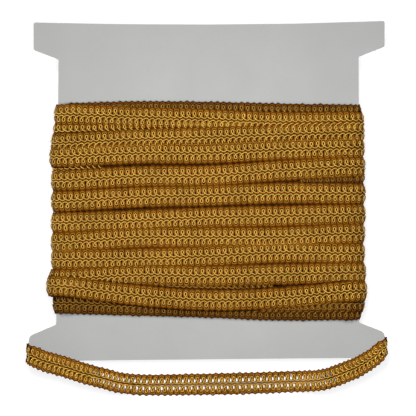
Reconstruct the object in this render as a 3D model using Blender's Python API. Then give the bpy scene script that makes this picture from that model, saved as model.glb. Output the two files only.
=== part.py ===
"""Gimp trim wound round a notched card, with one loose length across the front.

The object lies on its back. +X is the card's right, +Y its top edge and +Z points up from the
surface. The origin is on the surface, under the middle of the object's footprint.
Lengths are in millimetres until a mesh is made. They are counted from the middle of the pack,
and each finished piece is moved by FOOTPRINT_MIDDLE to the origin.
"""

import math
from collections import namedtuple

import bmesh
import bpy
from mathutils import Vector

MM = 0.001

# The middle of the whole object's footprint, counted from the middle of the pack
FOOTPRINT_MIDDLE = (-0.75, 1.19)

# The gap that neighbouring pieces keep
GAP = 0.3

# The trim: its width from edge to edge and its thickness where it lies loose
TRIM_WIDTH = 12.5
TRIM_THICK = 2.0

# The card and the wraps behind and before it
CARD_THICK = 1.6
BACK_WRAP = 6.5
FRONT_WRAP = 7.0
CARD_BOTTOM = BACK_WRAP + GAP
CARD_TOP = CARD_BOTTOM + CARD_THICK

# The card bows: its middle is flat and its ears stand a little higher
BOW = 3.0
BOW_START = 35.0
BOW_END = 108.0
BOW_STEP = 12.0

# The card's neck, which the trim is wound round: the x of its two edges at the upper and lower end
Neck = namedtuple("Neck", "top_y bottom_y left_top left_bottom right_top right_bottom")
NECK = Neck(93.0, -68.6, -91.0, -92.4, 91.7, 92.1)

# The card's ears
UPPER_EAR_LEFT = -106.1
UPPER_EAR_RIGHT = 107.4
LOWER_EAR_LEFT = -108.9
LOWER_EAR_RIGHT = 107.4
TOP_HOLLOW_Y = 113.7
CORNER_STEPS = 4

# The card's corners, anticlockwise from the top left, with the radius each is cut to
Corner = namedtuple("Corner", "x y radius")
CARD_CORNERS = (
    Corner(UPPER_EAR_LEFT, 114.7, 1.2),
    Corner(UPPER_EAR_LEFT, 98.0, 1.0),
    Corner(NECK.left_top, 92.3, 1.5),
    Corner(NECK.left_bottom, -69.2, 1.5),
    Corner(LOWER_EAR_LEFT, -76.1, 3.5),
    Corner(LOWER_EAR_LEFT, -91.5, 1.2),
    Corner(LOWER_EAR_RIGHT, -89.4, 1.2),
    Corner(LOWER_EAR_RIGHT, -73.8, 3.5),
    Corner(NECK.right_bottom, -68.0, 1.5),
    Corner(NECK.right_top, 93.9, 1.5),
    Corner(UPPER_EAR_RIGHT, 100.0, 1.0),
    Corner(UPPER_EAR_RIGHT, 115.6, 1.2),
    Corner(52.0, 114.2, 0.0),
    Corner(0.0, TOP_HOLLOW_Y, 0.0),
    Corner(-52.0, 113.9, 0.0),
)

# The rows of the pack that show, from the top. Each has the y of its middle line at the pack's
# left, centre and right, how far its crest stands above the pack's face, and how far it reaches
# past the neck's left and right edges.
Row = namedtuple("Row", "left centre right lift left_reach right_reach")
ROWS = (
    Row(58.9, 56.4, 54.0, -0.7, 3.5, 3.7),
    Row(47.9, 49.7, 50.6, -1.2, 3.8, 3.6),
    Row(40.6, 45.0, 48.5, 0.0, 4.5, 3.8),
    Row(32.6, 35.3, 38.1, 0.8, 5.3, 3.9),
    Row(17.4, 21.7, 27.1, 0.0, 4.4, 4.4),
    Row(5.2, 9.6, 10.7, 0.2, 4.4, 4.6),
    Row(-7.0, -4.0, -2.1, 0.0, 4.5, 4.6),
    Row(-19.2, -15.9, -13.7, 0.2, 4.5, 4.3),
    Row(-29.6, -27.8, -25.9, 0.0, 4.4, 4.2),
    Row(-41.2, -39.3, -37.5, 0.5, 5.6, 4.8),
    Row(-45.8, -53.4, -48.5, 1.4, 7.1, 5.4),
    Row(-57.0, -59.7, -60.7, -1.6, 3.5, 2.4),
)

# The row under the first one, of which only the upper edge shows
TOP_EDGE = Row(64.9, 65.9, 65.0, -2.4, 2.2, 2.4)

# The relief of a row: how deep the valley beside it is, how deep its middle line, where its
# shoulders lie as a part of the way to the next row, and how far a valley is drawn in at the
# neck's edges as a part of its depth
VALLEY_DEPTH = 1.9
GROOVE_DEPTH = 0.5
SHOULDER = 0.28
VALLEY_DRAW = 0.7

# The pack's upper and lower rim: its width, how far it drops, where its last line lies as a part
# of the way down to the card, and how far the lower rim is drawn in
RIM_WIDTH = 1.4
RIM_DROP = 2.0
RIM_LEVEL = 0.4
RIM_DRAW = 0.4

# The turn of the wraps round the neck's edges, and how many steps each stretch of a row gets
TURN_DEPTH = 11.0
FRONT_STEPS = 14
BACK_STEPS = 12
TURN_STEPS = 8

# How fast the pack's inner face comes to the neck's edge in a turn
BORE_RATE = 2.6

# The loose length: its edge bevel, and where it leaves the card for the surface
STRIP_EDGE = 1.3
LEFT_DROP = (-69.0, -42.0)
RIGHT_DROP = (50.0, 75.0)

# Its steps, which are close together near the middle of each fold
STRIP_STEP = 0.8
STRIP_SKIP = 5
FOLD_MIDDLE = 1.8
FOLD_REACH = 4.5
SLOPE_REACH = 0.2
FOLD_STEPS = 8
PROFILE_STEP = 2.0
CURVE_STEPS = 10

# The route of the loose length's middle line. It comes out of the pack behind the card, folds
# round the left ear, crosses the front, and folds back round the right ear.
BEHIND_LEFT = ((-61.5, -71.4), (-72.0, -75.4), (-85.0, -79.9), (-98.0, -83.9))
IN_FRONT = (
    (-108.9, -87.4),
    (-99.1, -91.4),
    (-85.9, -95.4),
    (-75.8, -98.9),
    (-53.7, -103.4),
    (-26.2, -106.6),
    (-4.9, -106.8),
    (20.0, -105.9),
    (42.3, -105.2),
    (60.6, -103.4),
    (77.3, -99.0),
    (91.4, -94.8),
    (101.9, -89.2),
    (107.4, -85.0),
)
BEHIND_RIGHT = ((98.0, -79.2), (89.5, -76.3), (81.5, -74.3))


def clear_scene():
    for old in list(bpy.data.objects):
        bpy.data.objects.remove(old, do_unlink=True)


def bow(x):
    """How much higher the card stands at x than in its flat middle."""
    part = max(0.0, abs(x) - BOW_START) / (BOW_END - BOW_START)
    return BOW * part * part


def blend(part):
    """A soft step from 0 to 1."""
    part = min(1.0, max(0.0, part))
    return part * part * (3.0 - 2.0 * part)


def material(name, color, roughness):
    made = bpy.data.materials.new(name)
    made.use_nodes = True
    shader = made.node_tree.nodes["Principled BSDF"]
    shader.inputs["Base Color"].default_value = (*color, 1.0)
    shader.inputs["Roughness"].default_value = roughness
    shader.inputs["Metallic"].default_value = 0.0
    return made


def add_piece(name, mesh_data, color, roughness, sharp_degrees):
    """Turns a bmesh into a named object with its own material, faces out."""
    bmesh.ops.triangulate(mesh_data, faces=mesh_data.faces[:])
    bmesh.ops.recalc_face_normals(mesh_data, faces=mesh_data.faces[:])
    middle_x, middle_y = FOOTPRINT_MIDDLE
    bmesh.ops.translate(mesh_data, verts=mesh_data.verts[:],
                        vec=(-middle_x * MM, -middle_y * MM, 0.0))
    mesh = bpy.data.meshes.new(name)
    mesh_data.to_mesh(mesh)
    mesh_data.free()
    mesh.shade_smooth()
    mesh.set_sharp_from_angle(angle=math.radians(sharp_degrees))
    piece = bpy.data.objects.new(name, mesh)
    bpy.context.collection.objects.link(piece)
    mesh.materials.append(material(name, color, roughness))
    return piece


def rounded_outline(corners):
    """The card's outline: each corner is replaced by an arc that touches both its edges."""
    points = []
    for number, corner in enumerate(corners):
        here = Vector((corner.x, corner.y))
        before = corners[number - 1]
        after = corners[(number + 1) % len(corners)]
        back = (Vector((before.x, before.y)) - here).normalized()
        ahead = (Vector((after.x, after.y)) - here).normalized()
        if corner.radius == 0.0:
            points.append(here)
            continue
        half = back.angle(ahead) / 2.0
        reach = corner.radius / math.tan(half)
        centre = here + (back + ahead).normalized() * corner.radius / math.sin(half)
        start = here + back * reach - centre
        end = here + ahead * reach - centre
        turn = start.angle_signed(end)
        for step in range(CORNER_STEPS + 1):
            angle = -turn * step / CORNER_STEPS
            cos_a, sin_a = math.cos(angle), math.sin(angle)
            arm = Vector((start.x * cos_a - start.y * sin_a, start.x * sin_a + start.y * cos_a))
            points.append(centre + arm)
    return points


def build_card():
    """The board: its outline cut to strips, extruded, and bowed."""
    shape = bmesh.new()
    outline = [shape.verts.new((point.x * MM, point.y * MM, 0.0))
               for point in rounded_outline(CARD_CORNERS)]
    shape.faces.new(outline)
    cut_count = int(BOW_END / BOW_STEP)
    for number in range(-cut_count, cut_count + 1):
        everything = shape.verts[:] + shape.edges[:] + shape.faces[:]
        bmesh.ops.bisect_plane(shape, geom=everything, plane_co=(number * BOW_STEP * MM, 0.0, 0.0),
                               plane_no=(1.0, 0.0, 0.0))
    raised = bmesh.ops.extrude_face_region(shape, geom=shape.faces[:])
    top = [item for item in raised["geom"] if isinstance(item, bmesh.types.BMVert)]
    bmesh.ops.translate(shape, verts=top, vec=(0.0, 0.0, CARD_THICK * MM))
    for vert in shape.verts:
        vert.co.z += (CARD_BOTTOM + bow(vert.co.x / MM)) * MM
    add_piece("card", shape, (0.52, 0.52, 0.50), 0.85, 35.0)


def neck_edge(top_x, bottom_x, y):
    part = (NECK.top_y - y) / (NECK.top_y - NECK.bottom_y)
    return top_x + (bottom_x - top_x) * part


def sections():
    """The stations round the pack: how far along the face, the turn's angle, and the side."""
    stations = []
    for step in range(FRONT_STEPS):
        stations.append(("front", step / FRONT_STEPS))
    for step in range(TURN_STEPS):
        stations.append(("right", step / TURN_STEPS))
    for step in range(BACK_STEPS):
        stations.append(("back", step / BACK_STEPS))
    for step in range(TURN_STEPS):
        stations.append(("left", step / TURN_STEPS))
    return stations


def row_y(row, side, part):
    """The y of a row's middle line at one station: curved in front, straight behind."""
    if side == "right":
        return row.right
    if side == "left":
        return row.left
    if side == "back":
        return row.right + (row.left - row.right) * part
    bend = 2.0 * (row.left + row.right) - 4.0 * row.centre
    return row.left + (row.right - row.left - bend) * part + bend * part * part


Line = namedtuple("Line", "y height left_reach right_reach")


def ridge_lines(side, part):
    """The lines along the pack at one station, from its top edge to its bottom edge."""
    in_front = side == "front"
    lift_share = 1.0 if in_front else 0.0
    if side in ("right", "left"):
        turned = part if side == "right" else 1.0 - part
        lift_share = 1.0 - blend(turned)
    groove = GROOVE_DEPTH * lift_share
    half = TRIM_WIDTH / 2.0
    top = row_y(TOP_EDGE, side, part)
    lines = [
        Line(top, FRONT_WRAP * RIM_LEVEL - FRONT_WRAP, TOP_EDGE.left_reach - RIM_DROP,
             TOP_EDGE.right_reach - RIM_DROP),
        Line(top - RIM_WIDTH, -RIM_DROP, TOP_EDGE.left_reach, TOP_EDGE.right_reach),
    ]
    bottom = row_y(ROWS[-1], side, part) - half
    for number, row in enumerate(ROWS):
        middle = row_y(row, side, part)
        above = top if number == 0 else row_y(ROWS[number - 1], side, part)
        below = bottom - half if number == len(ROWS) - 1 else row_y(ROWS[number + 1], side, part)
        lift = row.lift * lift_share
        reach = (row.left_reach, row.right_reach)
        lines.append(Line(middle + (above - middle) * SHOULDER, lift, *reach))
        lines.append(Line(middle, lift - groove, *reach))
        lines.append(Line(middle + (below - middle) * SHOULDER, lift, *reach))
        if number < len(ROWS) - 1:
            following = ROWS[number + 1]
            depth = VALLEY_DEPTH * min(1.0, (middle - below) / TRIM_WIDTH)
            low = min(row.lift, following.lift) * lift_share
            lines.append(Line((middle + below) / 2.0, low - depth,
                              min(row.left_reach, following.left_reach) - depth * VALLEY_DRAW,
                              min(row.right_reach, following.right_reach) - depth * VALLEY_DRAW))
    last = ROWS[-1]
    lines.append(Line(bottom + RIM_WIDTH, -RIM_DROP + last.lift * lift_share,
                      last.left_reach - RIM_DRAW, last.right_reach - RIM_DRAW))
    lines.append(Line(bottom, FRONT_WRAP * RIM_LEVEL - FRONT_WRAP, last.left_reach - RIM_DROP,
                      last.right_reach - RIM_DROP))
    return lines


def pack_point(side, part, line):
    """A point of the pack's surface, on one line at one station."""
    top = CARD_TOP + GAP + FRONT_WRAP + line.height
    back_height = min(0.0, line.height)
    bottom = -back_height
    left = neck_edge(NECK.left_top, NECK.left_bottom, line.y) - GAP - line.left_reach
    right = neck_edge(NECK.right_top, NECK.right_bottom, line.y) + GAP + line.right_reach
    turn_left = left + TURN_DEPTH
    turn_right = right - TURN_DEPTH
    middle = (top + bottom) / 2.0
    half = (top - bottom) / 2.0
    if side == "front":
        x, z = turn_left + (turn_right - turn_left) * part, top
    elif side == "back":
        x, z = turn_right + (turn_left - turn_right) * part, bottom
    else:
        angle = math.pi * part
        sideways = TURN_DEPTH * math.sin(angle)
        x = turn_right + sideways if side == "right" else turn_left - sideways
        z = middle + half * math.cos(angle) * (1.0 if side == "right" else -1.0)
    return Vector((x, line.y, z + bow(x))) * MM


def bore_point(side, part, y):
    """A point of the pack's inner face, which goes round the neck with a small gap."""
    left = neck_edge(NECK.left_top, NECK.left_bottom, y) - GAP
    right = neck_edge(NECK.right_top, NECK.right_bottom, y) + GAP
    top = CARD_TOP + GAP
    bottom = CARD_BOTTOM - GAP
    turn_left = left - min(row.left_reach for row in ROWS) + TURN_DEPTH
    turn_right = right + min(row.right_reach for row in ROWS) - TURN_DEPTH
    if side == "front":
        x, z = turn_left + (turn_right - turn_left) * part, top
    elif side == "back":
        x, z = turn_right + (turn_left - turn_right) * part, bottom
    else:
        start, edge = (turn_right, right) if side == "right" else (turn_left, left)
        x = start + (edge - start) * min(1.0, BORE_RATE * min(part, 1.0 - part))
        upper = part < 0.5 if side == "right" else part > 0.5
        z = top if upper else bottom
        if part == 0.5:
            z = (top + bottom) / 2.0
    return Vector((x, y, z + bow(x))) * MM


def build_pack():
    """The wound trim: one closed ring round the neck, with a ridge for each row that shows."""
    shape = bmesh.new()
    rings = []
    for side, part in sections():
        lines = ridge_lines(side, part)
        loop = [shape.verts.new(pack_point(side, part, line)) for line in lines]
        loop.append(shape.verts.new(bore_point(side, part, lines[-1].y)))
        loop.append(shape.verts.new(bore_point(side, part, lines[0].y)))
        rings.append(loop)
    for number, ring in enumerate(rings):
        following = rings[(number + 1) % len(rings)]
        for spot in range(len(ring)):
            after = (spot + 1) % len(ring)
            shape.faces.new((ring[spot], ring[after], following[after], following[spot]))
    add_piece("wound_trim", shape, (0.34, 0.17, 0.03), 0.7, 50.0)


def strip_height(x):
    """The height of the loose length's middle in front: on the ears, and down on the surface."""
    on_card = CARD_TOP + GAP + TRIM_THICK / 2.0 + bow(x)
    on_surface = TRIM_THICK / 2.0
    left = blend((x - LEFT_DROP[0]) / (LEFT_DROP[1] - LEFT_DROP[0]))
    right = blend((RIGHT_DROP[1] - x) / (RIGHT_DROP[1] - RIGHT_DROP[0]))
    return on_card + (on_surface - on_card) * left * right


def strip_profile():
    """The loose length seen along Y: points (x, z) behind, round the left ear, before, and back."""
    behind = CARD_BOTTOM - GAP - TRIM_THICK / 2.0
    radius = CARD_THICK / 2.0 + GAP + TRIM_THICK / 2.0
    card_middle = (CARD_TOP + CARD_BOTTOM) / 2.0

    def run(start, end, height):
        count = math.ceil(abs(end - start) / PROFILE_STEP)
        return [(x, height(x)) for x in
                (start + (end - start) * step / count for step in range(count))]

    def fold(x, sign):
        points = []
        for step in range(FOLD_STEPS):
            angle = math.pi * step / FOLD_STEPS
            height = card_middle + bow(x) + sign * radius * math.cos(angle)
            points.append((x + sign * radius * math.sin(angle), height))
        return points

    def height_behind(x):
        return behind + bow(x)

    points = run(BEHIND_LEFT[0][0] + TRIM_WIDTH, LOWER_EAR_LEFT, height_behind)
    points += fold(LOWER_EAR_LEFT, -1.0)
    front_start = len(points)
    points += run(LOWER_EAR_LEFT, LOWER_EAR_RIGHT, strip_height)
    front_end = len(points)
    points += fold(LOWER_EAR_RIGHT, 1.0)
    points += run(LOWER_EAR_RIGHT, BEHIND_RIGHT[-1][0] - TRIM_WIDTH, height_behind)
    return points, front_start, front_end


def lengths_along(points):
    total = 0.0
    lengths = [0.0]
    for before, after in zip(points, points[1:]):
        total += math.dist(before, after)
        lengths.append(total)
    return lengths


def read_at(keys, values, key):
    """Reads a value between the entries of two lists, by the first list's rising keys."""
    number = 1
    while number < len(keys) - 1 and keys[number] < key:
        number += 1
    part = (key - keys[number - 1]) / (keys[number] - keys[number - 1])
    before, after = values[number - 1], values[number]
    return tuple(b + (a - b) * part for b, a in zip(before, after))


def smooth_route(points, step):
    """Even points along a smooth curve through the route's points."""
    ends = [points[0] * 2 - points[1]] + points + [points[-1] * 2 - points[-2]]
    fine = []
    for a, b, c, d in zip(ends, ends[1:], ends[2:], ends[3:]):
        for number in range(CURVE_STEPS):
            t = number / CURVE_STEPS
            fine.append(((b * 2) + (c - a) * t + (a * 2 - b * 5 + c * 4 - d) * t * t
                         + (b * 3 - a - c * 3 + d) * t * t * t) / 2)
    fine.append(points[-1])
    lengths = lengths_along([tuple(point) for point in fine])
    count = round(lengths[-1] / step)
    return [Vector(read_at(lengths, fine, lengths[-1] * number / count))
            for number in range(count + 1)]


def strip_route(points, front_start, front_end, lengths):
    """The route's points laid out flat: how far along the profile, and y."""
    front_x = [x for x, _ in points[front_start:front_end]]
    front_along = [(length,) for length in lengths[front_start:front_end]]
    left_edge = lengths[front_start]
    fold_length = math.pi * (CARD_THICK / 2.0 + GAP + TRIM_THICK / 2.0)
    right_edge = lengths[front_end]
    flat = []
    for x, y in BEHIND_LEFT:
        flat.append(Vector((left_edge - fold_length - (x - LOWER_EAR_LEFT), y)))
    for x, y in IN_FRONT:
        flat.append(Vector((read_at(front_x, front_along, x)[0], y)))
    for x, y in BEHIND_RIGHT:
        flat.append(Vector((right_edge + fold_length + (LOWER_EAR_RIGHT - x), y)))
    return flat


def profile_slope(points, lengths, along):
    """The profile's direction at one place, read over a short stretch round it."""
    before = Vector(read_at(lengths, points, along - SLOPE_REACH))
    after = Vector(read_at(lengths, points, along + SLOPE_REACH))
    return (after - before).normalized()


def strip_stations(points, front_start, front_end, lengths):
    """The route's stations: each with its middle and direction, close together at the folds."""
    route = smooth_route(strip_route(points, front_start, front_end, lengths), STRIP_STEP)
    fold_middles = (lengths[front_start] - FOLD_MIDDLE, lengths[front_end] + FOLD_MIDDLE)
    stations = []
    for number, place in enumerate(route):
        near_fold = any(abs(place.x - middle) < FOLD_REACH for middle in fold_middles)
        if near_fold or number % STRIP_SKIP == 0 or number == len(route) - 1:
            before = route[max(0, number - 1)]
            after = route[min(len(route) - 1, number + 1)]
            stations.append((place, (after - before).normalized()))
    return stations


def build_loose_length():
    """The loose length: a flat strip laid along its route and bent round the card's ears."""
    points, front_start, front_end = strip_profile()
    lengths = lengths_along(points)
    half_width = TRIM_WIDTH / 2.0
    half_thick = TRIM_THICK / 2.0
    shoulder = half_width - STRIP_EDGE
    section = ((-half_width, 0.0), (-shoulder, -half_thick), (shoulder, -half_thick),
               (half_width, 0.0), (shoulder, half_thick), (-shoulder, half_thick))
    shape = bmesh.new()
    rings = []
    for place, ahead in strip_stations(points, front_start, front_end, lengths):
        ring = []
        x, z = read_at(lengths, points, place.x)
        slope = profile_slope(points, lengths, place.x)
        for across, out in section:
            spot = Vector((x - slope.y * out, place.y + across / ahead.x, z + slope.x * out))
            ring.append(shape.verts.new(spot * MM))
        rings.append(ring)
    for first, second in zip(rings, rings[1:]):
        for spot in range(len(section)):
            after = (spot + 1) % len(section)
            shape.faces.new((first[spot], first[after], second[after], second[spot]))
    shape.faces.new(rings[0])
    shape.faces.new(rings[-1])
    add_piece("loose_length", shape, (0.40, 0.21, 0.04), 0.7, 50.0)


def main():
    clear_scene()
    build_card()
    build_pack()
    build_loose_length()


main()
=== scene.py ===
import math
from collections import namedtuple

import bpy
import numpy as np
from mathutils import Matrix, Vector


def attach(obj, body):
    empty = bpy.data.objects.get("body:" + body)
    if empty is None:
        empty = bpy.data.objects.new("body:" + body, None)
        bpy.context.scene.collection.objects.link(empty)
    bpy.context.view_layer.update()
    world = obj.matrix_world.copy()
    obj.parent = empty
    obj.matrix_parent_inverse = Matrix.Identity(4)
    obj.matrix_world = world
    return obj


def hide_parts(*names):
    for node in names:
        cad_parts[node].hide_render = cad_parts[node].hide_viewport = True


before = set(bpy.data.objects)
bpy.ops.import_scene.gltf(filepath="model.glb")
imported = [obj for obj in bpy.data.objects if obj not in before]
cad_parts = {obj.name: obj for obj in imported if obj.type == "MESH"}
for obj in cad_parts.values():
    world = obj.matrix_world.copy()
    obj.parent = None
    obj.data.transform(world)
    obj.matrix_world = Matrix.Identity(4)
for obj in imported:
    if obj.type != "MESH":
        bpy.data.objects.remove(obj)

# Gimp trim wound round a notched card, with one loose length across the front. Lengths are in
# millimetres until a mesh is made. They are counted from the middle of the pack, as in the
# solids' source, and every piece is moved by FOOTPRINT_MIDDLE to the frame's origin.
MM = 0.001
FOOTPRINT_MIDDLE = np.array((-0.75, 1.19, 0.0))

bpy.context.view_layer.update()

# The trim, the card and the wraps round it
GAP = 0.3
TRIM_WIDTH = 12.5
TRIM_THICK = 2.0
CARD_THICK = 1.6
BACK_WRAP = 6.5
FRONT_WRAP = 7.0
CARD_BOTTOM = BACK_WRAP + GAP
CARD_TOP = CARD_BOTTOM + CARD_THICK
NECK_LEFT = -91.7
NECK_RIGHT = 91.9
TURN_DEPTH = 11.0
BOW = 3.0
BOW_START = 35.0
BOW_END = 108.0

# One repeat of the trim, and the radii of its cords and of the flat pads behind them. Its lower
# half is the upper one mirrored, and lies LOWER_SHIFT of a repeat further along.
PITCH = 3.69
SCROLL_RADIUS = 0.29
LOOP_RADIUS = 0.25
BIND_RADIUS = 0.36
MIDDLE_RADIUS = 0.64
MIDDLE_FLATNESS = 0.3
BUMP_RADIUS = 0.36
PAD_RADIUS = 1.30
NARROW_PAD_RADIUS = 1.42
WIDE_PAD_RADIUS = 1.90
PAD_FLATNESS = 0.18
SEAM_RADIUS = 0.24
LOWER_SHIFT = 0.46
HALVES = ((1.0, 0.0), (-1.0, LOWER_SHIFT))

# How unevenly it is made: how far a scroll's top, EYE_REACH from the middle line, sways along the
# trim and how far a loop drifts, and how much each is stretched across it
SCROLL_SWAY = 0.10
SCROLL_STRETCH = 0.03
LOOP_DRIFT = 0.06
LOOP_STRETCH = 0.02
EYE_REACH = 4.0

# How finely things are drawn: the cords' sides, the length between samples, the steps along
# curves, and how many samples a wrap's corner is rounded over
FINE_SIDES = 6
PLAIN_SIDES = 4
SAMPLE_STEP = 0.5
ROW_STEPS = 40
TURN_STEPS = 57
FOLD_STEPS = 24
ROUTE_STEPS = 30
SMOOTHING = 17

# The places of the trim's materials in the list. The same come again from SHADE_SLOTS on, darker
# by SHADE, for the wraps that lie in the shade of others.
SCROLL_SLOT, LOOP_SLOT, EDGE_SLOT, PAD_PAINTED_SHADE_SLOT = range(4)
SHADE_SLOTS = 4
NO_SHADE = (1.0, 1.0, 1.0)
SHADE = (0.50, 0.43, 0.34)

# The rows lie a little wider than the trim's own width. Where they turn round the card's edges
# they are pinched and flattened, more and more between two distances from the middle.
SPREAD = 1.06
PINCH = 0.02
FLATTENING = 0.35
PINCH_START = 84.0
PINCH_END = 96.0

# How much lower a wrap's face lies at a given distance from its middle line than on it
CROWN = 0.9
CROWN_REACH = 6.0

# The scroll's path through one repeat: along the trim, across it from its middle line, and out
# of its face. It rises on the right of its eye, goes over the top and down on the left, and its
# tail crosses over to the right again.
Point = namedtuple("Point", "along across out")
SCROLL = (
    Point(-1.10, 0.46, 0.02),
    Point(-0.50, 0.64, -0.30),
    Point(-0.06, 1.22, -0.46),
    Point(0.28, 1.90, -0.42),
    Point(0.60, 2.55, -0.22),
    Point(0.72, 3.20, -0.02),
    Point(0.50, 3.78, 0.12),
    Point(0.00, 4.02, 0.22),
    Point(-0.52, 3.78, 0.30),
    Point(-0.73, 3.20, 0.38),
    Point(-0.66, 2.50, 0.46),
    Point(-0.30, 1.88, 0.52),
    Point(0.28, 1.34, 0.54),
    Point(0.98, 0.95, 0.50),
    Point(1.70, 0.66, 0.40),
    Point(2.38, 0.50, 0.24),
)

# The loop round each eye, and the bump beyond it at the trim's edge
LOOP = (
    Point(-0.98, 1.05, -0.80),
    Point(-1.12, 1.95, -0.66),
    Point(-1.40, 2.90, -0.46),
    Point(-1.42, 3.75, -0.30),
    Point(-1.06, 4.70, -0.20),
    Point(0.00, 5.12, -0.16),
    Point(1.06, 4.70, -0.22),
    Point(1.42, 3.75, -0.34),
    Point(1.40, 2.90, -0.50),
    Point(1.12, 1.95, -0.70),
    Point(0.98, 1.05, -0.84),
)
BUMP = (
    Point(-1.42, 4.50, -0.70),
    Point(-1.04, 5.46, -0.50),
    Point(0.00, 5.98, -0.42),
    Point(1.04, 5.46, -0.52),
    Point(1.42, 4.50, -0.72),
)

# The flat pad of threads behind each eye, the two that close the trim but for one small hole at
# each side of the middle where it lies loose, and the thread between one column and the next
PAD = (
    Point(0.0, 2.7, -1.02),
    Point(0.0, 5.2, -0.92),
)
NARROW_PAD = (
    Point(0.0, 0.5, -0.92),
    Point(0.0, 3.2, -0.96),
)
WIDE_PAD = (
    Point(0.0, 2.9, -1.00),
    Point(0.0, 5.3, -0.96),
)
SEAM = (
    Point(1.84, 3.10, -0.80),
    Point(1.84, 5.30, -0.70),
)

# The threads that run behind the loops along each edge, and behind the tails along the middle
Thread = namedtuple("Thread", "across out radius slot flatness")
EDGE_THREADS = (
    Thread(5.35, -0.72, BIND_RADIUS, EDGE_SLOT, 1.0),
    Thread(4.70, -0.86, BIND_RADIUS, EDGE_SLOT, 1.0),
)
PACK_THREADS = EDGE_THREADS + (
    Thread(0.12, -0.42, BIND_RADIUS, EDGE_SLOT, 1.0),
)
LOOSE_THREADS = EDGE_THREADS + (
    Thread(0.60, -0.58, MIDDLE_RADIUS, LOOP_SLOT, MIDDLE_FLATNESS),
)

# What is laid once in each repeat: its points, its cord, its material's place in the list, and
# whether it belongs to the inner cords
Shape = namedtuple("Shape", "points radius sides slot flatness inner")
LOOP_SHAPE = Shape(LOOP, LOOP_RADIUS, FINE_SIDES, LOOP_SLOT, 1.0, False)
PLAIN_LOOP_SHAPE = Shape(LOOP[::2] + LOOP[-1:], LOOP_RADIUS, PLAIN_SIDES, LOOP_SLOT, 1.0, False)
BUMP_SHAPE = Shape(BUMP, BUMP_RADIUS, PLAIN_SIDES, EDGE_SLOT, 1.0, False)
# The pack's pads and seams are coloured near-black, as painted shade between the columns
PAD_SHAPE = Shape(PAD, PAD_RADIUS, PLAIN_SIDES, PAD_PAINTED_SHADE_SLOT, PAD_FLATNESS, True)
NARROW_PAD_SHAPE = Shape(NARROW_PAD, NARROW_PAD_RADIUS, PLAIN_SIDES, EDGE_SLOT, PAD_FLATNESS, True)
WIDE_PAD_SHAPE = Shape(WIDE_PAD, WIDE_PAD_RADIUS, PLAIN_SIDES, EDGE_SLOT, PAD_FLATNESS, True)
SEAM_SHAPE = Shape(SEAM, SEAM_RADIUS, PLAIN_SIDES, PAD_PAINTED_SHADE_SLOT, 1.0, True)

# The three ways that the trim is laid: in front, loose, and behind the card
Style = namedtuple("Style", "scroll sides shapes threads")
FINE = Style(SCROLL, FINE_SIDES, (LOOP_SHAPE, BUMP_SHAPE, PAD_SHAPE, SEAM_SHAPE), PACK_THREADS)
LOOSE = Style(SCROLL, FINE_SIDES, (LOOP_SHAPE, BUMP_SHAPE, NARROW_PAD_SHAPE, WIDE_PAD_SHAPE),
              LOOSE_THREADS)
PLAIN = Style(SCROLL[::2] + SCROLL[-1:], PLAIN_SIDES, (PLAIN_LOOP_SHAPE, BUMP_SHAPE),
              PACK_THREADS)

# A thin layer under the cords: half its width, how far in it lies, its thickness and its steps.
# The loose length has one only near its folds, where its middle line lies above OPEN_BELOW.
Liner = namedtuple("Liner", "reach depth thick step")
PACK_LINER = Liner(6.6, 1.45, 0.5, 3.0)
OUTER_LINER = Liner(5.6, 1.45, 0.5, 3.0)
LOOSE_LINER = Liner(4.6, 0.80, 0.2, 0.5)
OPEN_BELOW = -100.4

# How far the pack's solid is drawn in under the rows: its faces, its two turns and, as a share,
# its length. Its inner faces keep their height and width: they lie within FACE_MARGIN of the
# card's faces, and no more than SIDE_MARGIN past the neck's edges.
CORE_INSET = 2.9
CORE_SIDE_INSET = 2.0
CORE_LENGTH = 0.975
FACE_MARGIN = 1.2
SIDE_MARGIN = 2.0

# The pack's rows from the top. Each has the y of its middle line at five even places from left
# to right, how far its face stands above the pack's in front and behind, how far it reaches past
# the neck's left and right edges, and how much its upper edge stands up and its lower edge sinks
# for each millimetre across. All but the last go on as the next row behind the card, and the
# last goes on there for one part in LAST_PART of its way. In front they go to FRONT_PIECES pieces
# in turn.
Row = namedtuple("Row", "y1 y2 y3 y4 y5 front behind left_reach right_reach tilt")
ROWS = (
    Row(58.5, 56.9, 55.6, 53.8, 54.2, -0.5, 0.0, 2.6, 3.7, 0.07),
    Row(41.1, 43.4, 44.6, 46.2, 47.7, 0.5, -1.3, 4.5, 3.8, 0.08),
    Row(32.8, 34.9, 35.1, 37.0, 38.2, 1.2, 0.0, 5.3, 3.9, 0.07),
    Row(18.5, 21.0, 21.3, 24.4, 26.8, 0.3, 0.0, 4.4, 4.4, 0.07),
    Row(5.9, 8.4, 9.4, 10.8, 10.5, 0.2, 0.0, 4.4, 4.6, 0.07),
    Row(-7.0, -5.8, -4.0, -3.1, -2.1, 0.0, 0.0, 4.5, 4.6, 0.07),
    Row(-19.0, -16.1, -16.0, -15.8, -13.7, 0.1, 0.0, 4.5, 4.3, 0.07),
    Row(-29.5, -28.9, -27.5, -25.3, -25.8, 0.0, 0.0, 4.4, 4.2, 0.07),
    Row(-41.6, -38.9, -39.5, -38.5, -37.4, 0.6, -1.3, 5.6, 4.8, 0.07),
    Row(-45.4, -51.0, -54.0, -52.9, -48.6, 2.2, 0.0, 7.1, 5.4, 0.12),
    Row(-56.1, -57.5, -58.6, -60.2, -60.0, -2.0, 0.0, 3.5, 2.4, 0.24),
)
LAST_PART = 5
FRONT_PIECES = 4

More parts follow.
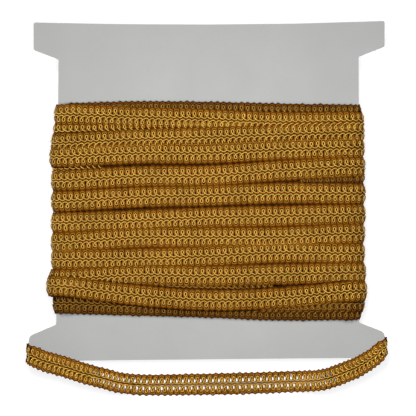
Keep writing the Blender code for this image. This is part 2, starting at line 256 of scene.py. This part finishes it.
# The wraps under those, and the parts of each one's upper and lower half that can be seen, as
# shares of its way from the left edge round the front to the back, and whether it lies in shade
Under = namedtuple("Under", "row upper_start upper_end lower_start lower_end shaded")
UNDER_ROWS = (
    Under(Row(59.4, 60.5, 60.2, 59.2, 58.5, -2.6, -1.6, 2.2, 2.4, 0.00),
          0.10, 1.0, 0.10, 0.10, True),
    Under(Row(47.7, 48.3, 49.1, 50.1, 50.7, -2.1, -2.6, 3.2, 3.4, 0.07),
          0.0, 1.0, 0.0, 0.14, False),
    Under(Row(25.0, 25.3, 27.6, 30.8, 32.0, -2.1, -2.6, 3.8, 3.6, 0.07),
          0.0, 0.18, 0.0, 0.14, False),
    Under(Row(11.6, 15.2, 17.6, 20.5, 22.8, -1.9, -2.6, 3.6, 4.2, 0.07),
          0.9, 1.0, 0.66, 1.0, True),
    Under(Row(-44.0, -46.0, -47.1, -47.9, -48.0, -1.8, -2.6, 3.0, 3.0, 0.07),
          0.26, 0.6, 0.0, 0.0, True),
    Under(Row(-53.0, -54.0, -55.4, -55.9, -55.3, -0.3, 0.0, 3.0, 4.2, 0.02),
          0.78, 1.0, 0.56, 1.0, True),
)

# What the uneven making of the wraps under the others and of the loose length starts from
UNDER_SEED = 100
LOOSE_SEED = 71

# The loose length: where it sinks from the card to the surface, the card's lower ears that it
# folds round, and its route
LEFT_DROP = (-69.0, -42.0)
RIGHT_DROP = (50.0, 75.0)
EAR_LEFT = -108.9
EAR_RIGHT = 107.4
BEHIND_LEFT = (
    (-34.0, -57.5),
    (-46.0, -64.0),
    (-61.5, -71.4),
    (-72.0, -75.4),
    (-85.0, -79.9),
    (-98.0, -83.9),
)
IN_FRONT = (
    (-108.9, -87.4),
    (-99.1, -91.4),
    (-85.9, -95.3),
    (-75.8, -98.7),
    (-63.0, -102.2),
    (-53.7, -105.1),
    (-41.0, -106.7),
    (-26.2, -106.7),
    (-4.9, -106.4),
    (20.0, -105.9),
    (42.3, -105.1),
    (60.6, -104.1),
    (70.0, -102.8),
    (77.3, -100.6),
    (84.5, -97.7),
    (91.4, -94.7),
    (101.9, -88.1),
    (107.4, -83.5),
)
BEHIND_RIGHT = (
    (98.0, -79.2),
    (89.5, -76.3),
    (81.5, -74.3),
    (66.0, -68.0),
    (55.0, -60.0),
)

# Its width at places along X, as shares of the trim's own
WIDTH_PLACES = (-108.0, -95.0, -60.0, -30.0, 10.0, 60.0, 88.0, 98.0, 107.0)
WIDTH_SHARES = (1.00, 1.06, 1.06, 1.09, 1.13, 1.10, 1.05, 0.96, 0.87)

# Its repeats lie closer together towards the folds, more and more between two distances from the
# middle
CROWDING = 0.30
CROWD_START = 50.0
CROWD_END = 88.0

# How flat its cords are pressed in the folds, where its face leans by more than FOLD_LEAN
FOLD_FLATNESS = 0.3
FOLD_LEAN = 0.3

# A cord's thread: its turns in each millimetre, and their depth in metres. A cord's tone is made
# up of fine grain, slow patches, the ridges of those turns, and painted light and shade: lighter
# at its top and darker on its sides, by how near its top a point lies. It has the finish's dark
# colour up to DARK_STOP and the light one from LIGHT_STOP, and HIGHLIGHT tints its gloss.
THREAD_TURNS = 4.0
THREAD_DEPTH = 0.00006
GRAIN_SCALE = 900.0
PATCH_SCALE = 60.0
GRAIN_SHARE = 0.24
PATCH_SHARE = 0.14
RIDGE_SHARE = 0.08
PAINTED_CREST_SHARE = 0.54
PAINTED_CREST_POWER = 2.0
DARK_STOP = 0.45
LIGHT_STOP = 0.77
HIGHLIGHT = (1.0, 0.80, 0.38, 1.0)

# The trim's finishes, in the order of their slots
Finish = namedtuple("Finish", "name dark light roughness gloss metal")
TRIM_FINISHES = (
    Finish("scroll_cord", (0.11, 0.029, 0.0015), (1.0, 0.62, 0.11), 0.34, 0.90, 0.42),
    Finish("loop_cord", (0.036, 0.009, 0.0004), (0.60, 0.235, 0.015), 0.40, 0.40, 0.25),
    Finish("edge_thread", (0.016, 0.004, 0.0002), (0.24, 0.077, 0.0045), 0.60, 0.10, 0.0),
    # The pads' thread below is near-black as painted shade in the gaps between the pack's columns
    Finish("pad_thread_painted_shade", (0.006, 0.002, 0.0001), (0.045, 0.013, 0.0007), 0.60, 0.05, 0.0),
)

# The lights, in metres and watts: a broad one from beyond the card's top edge, and a small one
# close above its middle, which is a little brighter in the photo. Then the strength of the light
# from all round, and how far the floor reaches to each side, in metres.
Light = namedtuple("Light", "name place target size power")
LIGHTS = (
    Light("key", (-0.4, 2.3, 2.8), (0.0, 0.0, 0.0), 1.0, 60.0),
    Light("overhead", (0.0, 0.01, 0.32), (0.0, 0.01, 0.0), 0.12, 0.89),
)
WORLD_LIGHT = 0.08
FLOOR_REACH = 3.0

# The camera, straight above the card, and the size of the view at the card's height. Only
# CLIP_END, the furthest that it sees, is in metres.
CAMERA_HEIGHT = 1200.0
VIEW_WIDTH = 253.8
VIEW_MIDDLE = (0.0, 1.83)
SENSOR_WIDTH = 36.0
CLIP_END = 20.0


def bow(x):
    part = np.maximum(0.0, np.abs(x) - BOW_START) / (BOW_END - BOW_START)
    return BOW * part * part


def blend(part):
    part = np.clip(part, 0.0, 1.0)
    return part * part * (3.0 - 2.0 * part)


def running_length(points):
    steps = np.linalg.norm(np.diff(points, axis=0), axis=1)
    return np.concatenate(((0.0,), np.cumsum(steps)))


def read_rows(keys, table, wanted):
    return np.stack([np.interp(wanted, keys, column) for column in table.T], axis=-1)


def unit(vectors):
    return vectors / np.maximum(np.linalg.norm(vectors, axis=-1, keepdims=True), 1e-9)


def smooth_curve(points, per_span):
    """A smooth curve through points, the same number of steps in each span."""
    points = np.asarray(points, float)
    ends = np.vstack((points[0] * 2 - points[1], points, points[-1] * 2 - points[-2]))
    t = (np.arange(per_span) / per_span)[:, None]
    spans = []
    for a, b, c, d in zip(ends, ends[1:], ends[2:], ends[3:]):
        spans.append((2 * b + (c - a) * t + (2 * a - 5 * b + 4 * c - d) * t ** 2
                      + (3 * b - a - 3 * c + d) * t ** 3) / 2)
    return np.vstack(spans + [points[-1:]])


class Band:
    """A bent band that the trim's cords lie in. It turns places along, across and out of the
    trim into points in space, and gives the band's outward direction there."""

    def __init__(self, middle, outward, tilt):
        self.lengths = running_length(middle)
        self.total = self.lengths[-1]
        self.middle = middle
        self.outward = outward
        self.tilt = tilt
        self.ahead = unit(np.gradient(middle, axis=0))

    def place(self, along, across, out):
        middle = read_rows(self.lengths, self.middle, along)
        outward = unit(read_rows(self.lengths, self.outward, along))
        ahead = unit(read_rows(self.lengths, self.ahead, along))
        sideways = np.cross(outward, ahead)
        turned = blend((np.abs(middle[:, 0]) - PINCH_START) / (PINCH_END - PINCH_START))
        across = across * (SPREAD - PINCH * turned)
        out = out * (1.0 - FLATTENING * turned) - CROWN * (across / CROWN_REACH) ** 2
        out = out + np.interp(along, self.lengths, self.tilt) * across
        return middle + sideways * across[:, None] + outward * out[:, None], outward


class FoldedBand:
    """The loose length: its route is drawn flat, and the flat drawing is bent along a profile
    whose folds all run along Y."""

    def __init__(self, profile, route):
        self.profile_lengths = running_length(profile)
        self.profile = profile
        slope = unit(np.gradient(profile, axis=0))
        self.profile_out = np.stack((-slope[:, 1], slope[:, 0]), axis=-1)
        spot = read_rows(self.profile_lengths, profile, route[:, 0])
        crowd = CROWDING * blend((np.abs(spot[:, 0]) - CROWD_START) / (CROWD_END - CROWD_START))
        steps = np.linalg.norm(np.diff(route, axis=0), axis=1)
        self.lengths = np.concatenate(((0.0,), np.cumsum(steps * (1.0 + crowd[1:]))))
        self.total = self.lengths[-1]
        self.route = route
        self.ahead = unit(np.gradient(route, axis=0))

    def place(self, along, across, out):
        middle = read_rows(self.lengths, self.route, along)
        ahead = unit(read_rows(self.lengths, self.ahead, along))
        x = read_rows(self.profile_lengths, self.profile, middle[:, 0])[:, 0]
        across = across * np.interp(x, WIDTH_PLACES, WIDTH_SHARES)
        flat_along = middle[:, 0] - ahead[:, 1] * across
        y = middle[:, 1] + ahead[:, 0] * across
        spot = read_rows(self.profile_lengths, self.profile, flat_along)
        outward = unit(read_rows(self.profile_lengths, self.profile_out, flat_along))
        out = out * np.where(np.abs(outward[:, 0]) > FOLD_LEAN, FOLD_FLATNESS, 1.0)
        outward = np.stack((outward[:, 0], np.zeros(len(y)), outward[:, 1]), axis=-1)
        points = np.stack((spot[:, 0], y, spot[:, 1]), axis=-1)
        return points + outward * out[:, None], outward


class Cords:
    """Collects tubes for one mesh."""

    def __init__(self):
        self.points = []
        self.faces = []
        self.slots = []
        self.runs = []
        self.count = 0

    def add(self, line, outward, radius, sides, slot, flatness=1.0):
        """A tube with an even number of sides along a line of points, capped at both ends."""
        ahead = unit(np.gradient(line, axis=0))
        sideways = unit(np.cross(outward, ahead))
        upward = unit(np.cross(ahead, sideways))
        angles = 2 * math.pi * np.arange(sides) / sides
        ring = (sideways[:, None, :] * np.cos(angles)[None, :, None]
                + upward[:, None, :] * np.sin(angles)[None, :, None] * flatness)
        self.add_rings(line[:, None, :] + ring * radius, slot)

    def add_rings(self, rings, slot):
        """A closed skin over a row of rings, each with the same even number of points."""
        sides = rings.shape[1]
        line = rings.mean(axis=1)
        points = rings.reshape(-1, 3)
        rows = np.arange(len(line) - 1)[:, None] * sides
        here = np.arange(sides)[None, :]
        after = (here + 1) % sides
        quads = np.stack((rows + here, rows + after, rows + after + sides, rows + here + sides),
                         axis=-1).reshape(-1, 4)
        last = len(points) - sides
        caps = []
        for corner in range(1, sides - 2, 2):
            caps.append((0, corner + 2, corner + 1, corner))
            caps.append((last, last + corner, last + corner + 1, last + corner + 2))
        self.points.append(points)
        self.faces.append(np.concatenate((quads, caps)) + self.count)
        self.slots.append(np.full(len(quads) + len(caps), slot))
        self.add_runs(line, sides, len(caps))
        self.count += len(points)

    def add_runs(self, line, sides, caps):
        """Each face corner's place along its cord, in millimetres, and round it, as a share."""
        lengths = running_length(line)
        low = np.repeat(lengths[:-1], sides)
        high = np.repeat(lengths[1:], sides)
        turn = np.tile(np.arange(sides) / sides, len(line) - 1)
        next_turn = turn + 1.0 / sides
        self.runs.append(np.stack((low, turn, low, next_turn, high, next_turn, high, turn),
                                  axis=-1).reshape(-1, 2))
        self.runs.append(np.zeros((caps * 4, 2)))

    def make(self, name, materials):
        points = (np.concatenate(self.points) - FOOTPRINT_MIDDLE) * MM
        faces = np.concatenate(self.faces)
        mesh = bpy.data.meshes.new(name)
        mesh.vertices.add(len(points))
        mesh.vertices.foreach_set("co", points.ravel())
        mesh.loops.add(faces.size)
        mesh.loops.foreach_set("vertex_index", faces.ravel())
        mesh.polygons.add(len(faces))
        mesh.polygons.foreach_set("loop_start", np.arange(len(faces)) * 4)
        mesh.update(calc_edges=True)
        mesh.polygons.foreach_set("material_index", np.concatenate(self.slots))
        runs = mesh.uv_layers.new(name="along_cord")
        runs.data.foreach_set("uv", np.concatenate(self.runs).ravel())
        mesh.shade_smooth()
        mesh.validate()
        for material in materials:
            mesh.materials.append(material)
        piece = bpy.data.objects.new(name, mesh)
        bpy.context.collection.objects.link(piece)
        return piece


def add_liner(cords, band, first, last, liner, slot):
    """A thin flat layer under the cords, from one repeat to another."""
    steps = np.linspace(first * PITCH, last * PITCH, int((last - first) * PITCH / liner.step) + 2)
    upper, lower = -liner.depth, -liner.depth - liner.thick
    rings = []
    for across, out in ((-liner.reach, upper), (liner.reach, upper),
                        (liner.reach, lower), (-liner.reach, lower)):
        rings.append(band.place(steps, np.full(len(steps), across), np.full(len(steps), out))[0])
    cords.add_rings(np.stack(rings, axis=1), slot)


def repeated(pattern, first, last, mirror, shift):
    """The pattern's points in every repeat from first to last, as three arrays."""
    table = np.array(pattern)
    numbers = np.arange(first, last)
    along = (table[None, :, 0] + (numbers[:, None] + 0.5 + shift) * PITCH)
    across = np.tile(table[:, 1] * mirror, len(numbers))
    out = np.tile(table[:, 2], len(numbers))
    return along.ravel(), across, out


def lay_scrolls(cords, band, first, last, style, half, slot, chance):
    """One half's scrolls, which are a single cord."""
    along, across, out = repeated(style.scroll, first, last, *half)
    size = len(style.scroll)
    sway = np.repeat(chance.normal(0.0, SCROLL_SWAY, last - first), size)
    stretch = np.repeat(chance.normal(1.0, SCROLL_STRETCH, last - first), size)
    share = np.abs(across) / EYE_REACH
    line, outward = band.place(along + sway * share, across * stretch, out)
    cords.add(line, outward, SCROLL_RADIUS, style.sides, slot)


def lay_trim(cords, inner, band, first, last, style, seed, shade=0, halves=HALVES):
    """One stretch of trim on a band, from one repeat to another. The inner cords and the threads
    go to inner. Where shade is SHADE_SLOTS, it has the shaded materials."""
    chance = np.random.default_rng(seed)
    for half in halves:
        lay_scrolls(cords, band, first, last, style, half, SCROLL_SLOT + shade, chance)
        for number in range(first, last):
            drift = chance.normal(0.0, LOOP_DRIFT)
            stretch = 1.0 + chance.normal(0.0, LOOP_STRETCH)
            for shape in style.shapes:
                along, across, out = repeated(shape.points, number, number + 1, *half)
                line, outward = band.place(along + drift, across * stretch, out)
                holder = inner if shape.inner else cords
                holder.add(line, outward, shape.radius, shape.sides, shape.slot + shade,
                           shape.flatness)
        steps = np.linspace(first * PITCH, last * PITCH, last - first + 1)
        for thread in style.threads:
            across = np.full(len(steps), thread.across * half[0])
            line, outward = band.place(steps, across, np.full(len(steps), thread.out))
            inner.add(line, outward, thread.radius, PLAIN_SIDES, thread.slot + shade,
                      thread.flatness)


def turn_places(row):
    """Where a wrap's turns round the neck's left and right edges begin."""
    half = TRIM_THICK / 2.0
    left = NECK_LEFT - GAP - row.left_reach + half
    right = NECK_RIGHT + GAP + row.right_reach - half
    return left + TURN_DEPTH, right - TURN_DEPTH


def edge_turn(x, y, start, end, side):
    """Half a turn round one edge of the card, from one height to another."""
    angle = math.pi * np.arange(TURN_STEPS) / TURN_STEPS
    middle, tall = (start + end) / 2.0, (start - end) / 2.0
    return np.stack((x + side * TURN_DEPTH * np.sin(angle), np.full(TURN_STEPS, y),
                     middle + tall * np.cos(angle), np.zeros(TURN_STEPS)), axis=-1)


def wrap_samples(row, following):
    """One wrap's middle line: across the front, round the right edge, behind, round the left."""
    half = TRIM_THICK / 2.0
    top = CARD_TOP + GAP + FRONT_WRAP - half
    high, low = top + row.front, half - row.behind
    turn_left, turn_right = turn_places(row)
    across = int((turn_right - turn_left) / SAMPLE_STEP)
    part = np.arange(across) / across
    ys = smooth_curve([(y,) for y in row[:5]], ROW_STEPS)[:, 0]
    front_y = np.interp(part, np.linspace(0.0, 1.0, len(ys)), ys)
    front = np.stack((turn_left + (turn_right - turn_left) * part, front_y,
                      np.full(across, high), np.full(across, row.tilt)), axis=-1)
    right_turn = edge_turn(turn_right, row.y5, high, low, 1.0)
    behind = np.stack((turn_right + (turn_left - turn_right) * part,
                       row.y5 + (following.y1 - row.y5) * part,
                       np.full(across, low), np.zeros(across)), axis=-1)
    next_left = turn_places(following)[0]
    left_turn = edge_turn(next_left, following.y1, low, top + following.front, -1.0)
    return front, right_turn, behind, left_turn


def winding(rows):
    """The middle line of a run of wraps and its tilt, and a mark for the stretches behind the
    card."""
    parts, marks = [], []
    for number, row in enumerate(rows):
        following = rows[min(number + 1, len(rows) - 1)]
        front, right_turn, behind, left_turn = wrap_samples(row, following)
        if number == 0:
            first_left = wrap_samples(row, row)[3]
            parts.append(first_left)
            marks.append(np.zeros(len(first_left)))
        parts += [front, right_turn]
        marks.append(np.zeros(len(front) + len(right_turn)))
        if number < len(rows) - 1:
            parts += [behind, left_turn]
            marks += [np.ones(len(behind)), np.zeros(len(left_turn))]
        else:
            end = len(behind) // LAST_PART
            parts.append(behind[:end])
            marks.append(np.ones(end))
    line = smoothed(np.concatenate(parts))
    line[:, 2] += bow(line[:, 0])
    return line, np.concatenate(marks)


def smoothed(line):
    """The line with its corners rounded by a moving average."""
    window = np.hanning(SMOOTHING)
    window /= window.sum()
    reach = SMOOTHING // 2
    padded = np.pad(line, ((reach, reach), (0, 0)), mode="edge")
    return np.stack([np.convolve(column, window, mode="valid") for column in padded.T], axis=-1)


def wrap_band(line):
    middle, tilt = line[:, :3], line[:, 3]
    ahead = unit(np.gradient(middle, axis=0))
    return Band(middle, unit(np.cross(ahead, np.array((0.0, 1.0, 0.0)))), tilt)


def lay_rows(groups, liners):
    """The wraps that show whole, in one run: fine in front of the card, plainer behind it. The
    run ends behind the card, so the last stretch but one is the lowest row in front."""
    line, mark = winding(ROWS)
    band = wrap_band(line)
    total = int(band.total / PITCH)
    behind = np.interp((np.arange(total) + 0.5) * PITCH, band.lengths, mark) > 0.5
    changes = [0] + [n for n in range(1, total) if behind[n] != behind[n - 1]] + [total]
    stretches = list(zip(changes, changes[1:]))
    for number, (start, end) in enumerate(stretches):
        if behind[start]:
            name, style = "rows_behind", PLAIN
        else:
            name, style = f"rows_front_{number % (2 * FRONT_PIECES) // 2 + 1}", FINE
        highest = number == 0
        lowest = number == len(stretches) - 2
        cords = groups.setdefault(name, Cords())
        lay_trim(cords, cords, band, start, end, style, number, SHADE_SLOTS if lowest else 0)
        liner = OUTER_LINER if highest or lowest else PACK_LINER
        add_liner(liners, band, start, end, liner, 0)


def lay_under_rows(groups):
    """What shows of the wraps under those, half by half."""
    cords = groups.setdefault("rows_under", Cords())
    for number, under in enumerate(UNDER_ROWS):
        band = wrap_band(winding((under.row,))[0])
        total = int(band.total / PITCH)
        shade = SHADE_SLOTS if under.shaded else 0
        shares = ((under.upper_start, under.upper_end), (under.lower_start, under.lower_end))
        for half, (start, end) in zip(HALVES, shares):
            first, last = int(start * total), int(end * total)
            if last > first:
                lay_trim(cords, cords, band, first, last, FINE, UNDER_SEED + number, shade,
                         (half,))


def build_pack(materials, painted_shade_material):
    """Every wrap that shows, laid as real cords, and the liners under them."""
    groups, liners = {}, Cords()
    lay_rows(groups, liners)
    lay_under_rows(groups)
    pieces = [cords.make(name, materials) for name, cords in groups.items()]
    # The liners have the under layers' very dark brown, which is painted shade
    pieces.append(liners.make("wound_liners", (painted_shade_material,)))
    for piece in pieces:
        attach(piece, "root")


def build_core(material):
    """The layers of trim under the rows that show: the pack's solid, drawn in."""
    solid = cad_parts["wound_trim"]
    mesh = solid.data.copy()
    mesh.name = "wound_core"
    low = (CARD_BOTTOM - FACE_MARGIN) * MM
    high = (CARD_TOP + FACE_MARGIN) * MM
    normals = [vert.normal.copy() for vert in mesh.vertices]
    for vert, normal in zip(mesh.vertices, normals):
        height = vert.co.z - bow(vert.co.x / MM) * MM
        x = vert.co.x / MM + FOOTPRINT_MIDDLE[0]
        beyond = x < NECK_LEFT - SIDE_MARGIN or x > NECK_RIGHT + SIDE_MARGIN
        if height < low or height > high or beyond:
            vert.co -= normal * (CORE_SIDE_INSET if beyond else CORE_INSET) * MM
        vert.co.y *= CORE_LENGTH
    mesh.materials.clear()
    mesh.materials.append(material)
    core = bpy.data.objects.new("wound_core", mesh)
    bpy.context.collection.objects.link(core)
    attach(core, "root")
    return core


def strip_height(x):
    """The height of the loose length's middle in front: on the card, and on the surface."""
    on_card = CARD_TOP + GAP + TRIM_THICK / 2.0 + bow(x)
    left = blend((x - LEFT_DROP[0]) / (LEFT_DROP[1] - LEFT_DROP[0]))
    right = blend((RIGHT_DROP[1] - x) / (RIGHT_DROP[1] - RIGHT_DROP[0]))
    return on_card + (TRIM_THICK / 2.0 - on_card) * left * right


def strip_band():
    """The loose length's profile and its flat route."""
    behind = CARD_BOTTOM - GAP - TRIM_THICK / 2.0
    radius = CARD_THICK / 2.0 + GAP + TRIM_THICK / 2.0 * FOLD_FLATNESS
    card_middle = (CARD_TOP + CARD_BOTTOM) / 2.0

    def run(start, end, height):
        x = np.arange(start, end, SAMPLE_STEP * (1.0 if end > start else -1.0))
        return np.stack((x, height(x)), axis=-1)

    def fold(x, sign):
        angle = math.pi * np.arange(FOLD_STEPS) / FOLD_STEPS
        return np.stack((x + sign * radius * np.sin(angle),
                         card_middle + bow(x) + sign * radius * np.cos(angle)), axis=-1)

    hidden_left = run(BEHIND_LEFT[0][0] + TRIM_WIDTH, EAR_LEFT, lambda x: behind + bow(x))
    front = run(EAR_LEFT, EAR_RIGHT, strip_height)
    hidden_right = run(EAR_RIGHT, BEHIND_RIGHT[-1][0] - TRIM_WIDTH, lambda x: behind + bow(x))
    left_fold, right_fold = fold(EAR_LEFT, -1.0), fold(EAR_RIGHT, 1.0)
    profile = np.concatenate((hidden_left, left_fold, front, right_fold, hidden_right))
    lengths = running_length(profile)
    front_start = len(hidden_left) + len(left_fold)
    front_end = front_start + len(front)
    front_lengths = lengths[front_start:front_end]
    left_edge = front_lengths[0]
    right_edge = lengths[front_end]
    fold_length = math.pi * radius
    flat = [(left_edge - fold_length - (x - EAR_LEFT), y) for x, y in BEHIND_LEFT]
    flat += [(np.interp(x, front[:, 0], front_lengths), y) for x, y in IN_FRONT]
    flat += [(right_edge + fold_length + EAR_RIGHT - x, y) for x, y in BEHIND_RIGHT]
    return FoldedBand(profile, smooth_curve(flat, ROUTE_STEPS))


def build_loose_length(materials):
    band = strip_band()
    cords, inner = Cords(), Cords()
    total = int(band.total / PITCH)
    lay_trim(cords, inner, band, 0, total, LOOSE, LOOSE_SEED)
    level = np.zeros(total)
    middle = band.place((np.arange(total) + 0.5) * PITCH, level, level)[0]
    open_repeats = np.flatnonzero(middle[:, 1] < OPEN_BELOW)
    add_liner(inner, band, 0, open_repeats[0], LOOSE_LINER, EDGE_SLOT)
    add_liner(inner, band, open_repeats[-1] + 1, total, LOOSE_LINER, EDGE_SLOT)
    piece = cords.make("loose_trim", materials)
    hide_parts("loose_length")
    inner_cords = inner.make("loose_inner_cords", materials)
    for part in (piece, inner_cords):
        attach(part, "root")


class Nodes:
    """Adds and links shader nodes in a new material."""

    def __init__(self, name):
        self.material = bpy.data.materials.new(name)
        self.material.use_nodes = True
        self.tree = self.material.node_tree
        self.shader = self.tree.nodes["Principled BSDF"]

    def add(self, kind, **values):
        node = self.tree.nodes.new(kind)
        for key, value in values.items():
            setattr(node, key, value)
        return node

    def link(self, start, end):
        self.tree.links.new(start, end)

    def place(self):
        return self.add("ShaderNodeTexCoord").outputs["Object"]

    def calc(self, operation, first, second=0.0):
        node = self.add("ShaderNodeMath", operation=operation)
        for socket, value in zip(node.inputs, (first, second)):
            if isinstance(value, (int, float)):
                socket.default_value = value
            else:
                self.link(value, socket)
        return node.outputs[0]

    def wave(self, turns):
        """A smooth wave from 0 to 1, once in each whole turn."""
        sine = self.calc("SINE", self.calc("MULTIPLY", turns, 2 * math.pi))
        return self.calc("ADD", self.calc("MULTIPLY", sine, 0.5), 0.5)

    def weighted_sum(self, parts):
        total = 0.0
        for value, share in parts:
            total = self.calc("ADD", self.calc("MULTIPLY", value, share), total)
        return total

    def noise(self, scale, detail, vector):
        node = self.add("ShaderNodeTexNoise")
        node.inputs["Scale"].default_value = scale
        node.inputs["Detail"].default_value = detail
        self.link(vector, node.inputs["Vector"])
        return node.outputs["Fac"]

    def color(self, factor, stops):
        """The surface's colour, read from stops of place and colour."""
        node = self.add("ShaderNodeValToRGB")
        for element, (place, color) in zip(node.color_ramp.elements, stops):
            element.position = place
            element.color = (*color, 1.0)
        self.link(factor, node.inputs["Fac"])
        self.link(node.outputs["Color"], self.shader.inputs["Base Color"])

    def bump(self, height, strength, depth):
        node = self.add("ShaderNodeBump")
        node.inputs["Strength"].default_value = strength
        node.inputs["Distance"].default_value = depth
        self.link(height, node.inputs["Height"])
        self.link(node.outputs["Normal"], self.shader.inputs["Normal"])

    def finish(self, roughness, gloss, metal=0.0):
        self.shader.inputs["Roughness"].default_value = roughness
        self.shader.inputs["Specular IOR Level"].default_value = gloss
        self.shader.inputs["Metallic"].default_value = metal


def cord_material(name, finish, shade):
    """Shiny thread wound round a cord: fine slanting turns, a slow change of tone, and painted
    light towards its top, with painted shade on its sides."""
    nodes = Nodes(name)
    place = nodes.place()
    run = nodes.add("ShaderNodeSeparateXYZ")
    uv = nodes.add("ShaderNodeUVMap", uv_map="along_cord")
    nodes.link(uv.outputs["UV"], run.inputs[0])
    along, around = run.outputs["X"], run.outputs["Y"]
    ridge = nodes.wave(nodes.calc("ADD", nodes.calc("MULTIPLY", along, THREAD_TURNS), around))
    # Painted light and shade: the cord is coloured lighter at its top and darker on its sides
    painted_crest_light = nodes.calc("POWER", nodes.wave(around), PAINTED_CREST_POWER)
    grain = nodes.noise(GRAIN_SCALE, detail=3.0, vector=place)
    patch = nodes.noise(PATCH_SCALE, detail=2.0, vector=place)
    tone = nodes.weighted_sum(((grain, GRAIN_SHARE), (patch, PATCH_SHARE),
                               (ridge, RIDGE_SHARE), (painted_crest_light, PAINTED_CREST_SHARE)))
    dark = tuple(value * part for value, part in zip(finish.dark, shade))
    light = tuple(value * part for value, part in zip(finish.light, shade))
    nodes.color(tone, ((DARK_STOP, dark), (LIGHT_STOP, light)))
    nodes.bump(ridge, strength=0.6, depth=THREAD_DEPTH)
    nodes.finish(finish.roughness, finish.gloss, finish.metal)
    nodes.shader.inputs["Specular Tint"].default_value = HIGHLIGHT
    return nodes.material


def trim_materials(prefix, shade):
    return tuple(cord_material(prefix + finish.name, finish, shade) for finish in TRIM_FINISHES)


def painted_shade_core_material():
    """The layers under the rows, in painted shade: very dark brown for the shadow down among
    the cords, with a coarse thread pattern. The liners have it too.
    """
    nodes = Nodes("under_layers_painted_shade")
    coarse = nodes.noise(scale=700.0, detail=3.0, vector=nodes.place())
    # Painted shade: very dark brown for the shadow down among the cords
    nodes.color(coarse, ((0.35, (0.016, 0.006, 0.0008)), (0.7, (0.10, 0.037, 0.0045))))
    nodes.bump(coarse, strength=1.0, depth=0.0006)
    nodes.finish(roughness=0.9, gloss=0.05)
    return nodes.material


def card_material():
    """Pale grey board: faint mottling, fine fibres, and little gloss."""
    nodes = Nodes("grey_board")
    place = nodes.place()
    mottle = nodes.noise(scale=35.0, detail=4.0, vector=place)
    fibre = nodes.noise(scale=1600.0, detail=4.0, vector=place)
    tone = nodes.weighted_sum(((mottle, 0.6), (fibre, 0.4)))
    nodes.color(tone, ((0.3, (0.398, 0.402, 0.389)), (0.7, (0.436, 0.440, 0.427))))
    nodes.bump(fibre, strength=0.35, depth=0.00008)
    nodes.finish(roughness=0.9, gloss=0.25)
    return nodes.material


def floor_material():
    """Grey, and luminous enough to look white, so that the shadows on it stay faint."""
    nodes = Nodes("pale_floor")
    nodes.shader.inputs["Base Color"].default_value = (0.25, 0.25, 0.25, 1.0)
    nodes.shader.inputs["Roughness"].default_value = 0.9
    nodes.shader.inputs["Emission Color"].default_value = (1.0, 1.0, 1.0, 1.0)
    nodes.shader.inputs["Emission Strength"].default_value = 0.86
    return nodes.material


def build_floor():
    mesh = bpy.data.meshes.new("floor")
    reach = FLOOR_REACH
    corners = [(-reach, -reach, 0.0), (reach, -reach, 0.0), (reach, reach, 0.0),
               (-reach, reach, 0.0)]
    mesh.from_pydata(corners, [], [(0, 1, 2, 3)])
    mesh.materials.append(floor_material())
    floor = bpy.data.objects.new("floor", mesh)
    bpy.context.collection.objects.link(floor)


def build_light(light):
    data = bpy.data.lights.new(light.name, "AREA")
    data.shape = "DISK"
    data.size = light.size
    data.energy = light.power
    lamp = bpy.data.objects.new(light.name, data)
    lamp.location = light.place
    aim = Vector(light.target) - Vector(light.place)
    lamp.rotation_euler = aim.to_track_quat("-Z", "Y").to_euler()
    bpy.context.collection.objects.link(lamp)


def build_world():
    world = bpy.data.worlds.new("studio")
    world.use_nodes = True
    background = world.node_tree.nodes["Background"]
    background.inputs["Color"].default_value = (1.0, 1.0, 1.0, 1.0)
    background.inputs["Strength"].default_value = WORLD_LIGHT
    bpy.context.scene.world = world


def build_camera():
    data = bpy.data.cameras.new("camera")
    card_height = (CARD_TOP + CARD_BOTTOM) / 2.0
    data.sensor_fit = "AUTO"
    data.sensor_width = SENSOR_WIDTH
    data.lens = SENSOR_WIDTH * CAMERA_HEIGHT / VIEW_WIDTH
    data.clip_end = CLIP_END
    camera = bpy.data.objects.new("camera", data)
    x, y = VIEW_MIDDLE
    place = np.array((x, y, CAMERA_HEIGHT + card_height)) - FOOTPRINT_MIDDLE
    camera.location = place * MM
    bpy.context.collection.objects.link(camera)
    bpy.context.scene.camera = camera


def main():
    bpy.context.scene.view_settings.view_transform = "Standard"
    build_camera()
    build_floor()
    for light in LIGHTS:
        build_light(light)
    build_world()
    trim = trim_materials("", NO_SHADE) + trim_materials("shaded_", SHADE)
    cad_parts["card"].data.materials.clear()
    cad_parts["card"].data.materials.append(card_material())
    layers = painted_shade_core_material()
    core = build_core(layers)
    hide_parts("wound_trim")
    build_pack(trim, layers)
    build_loose_length(trim)


main()
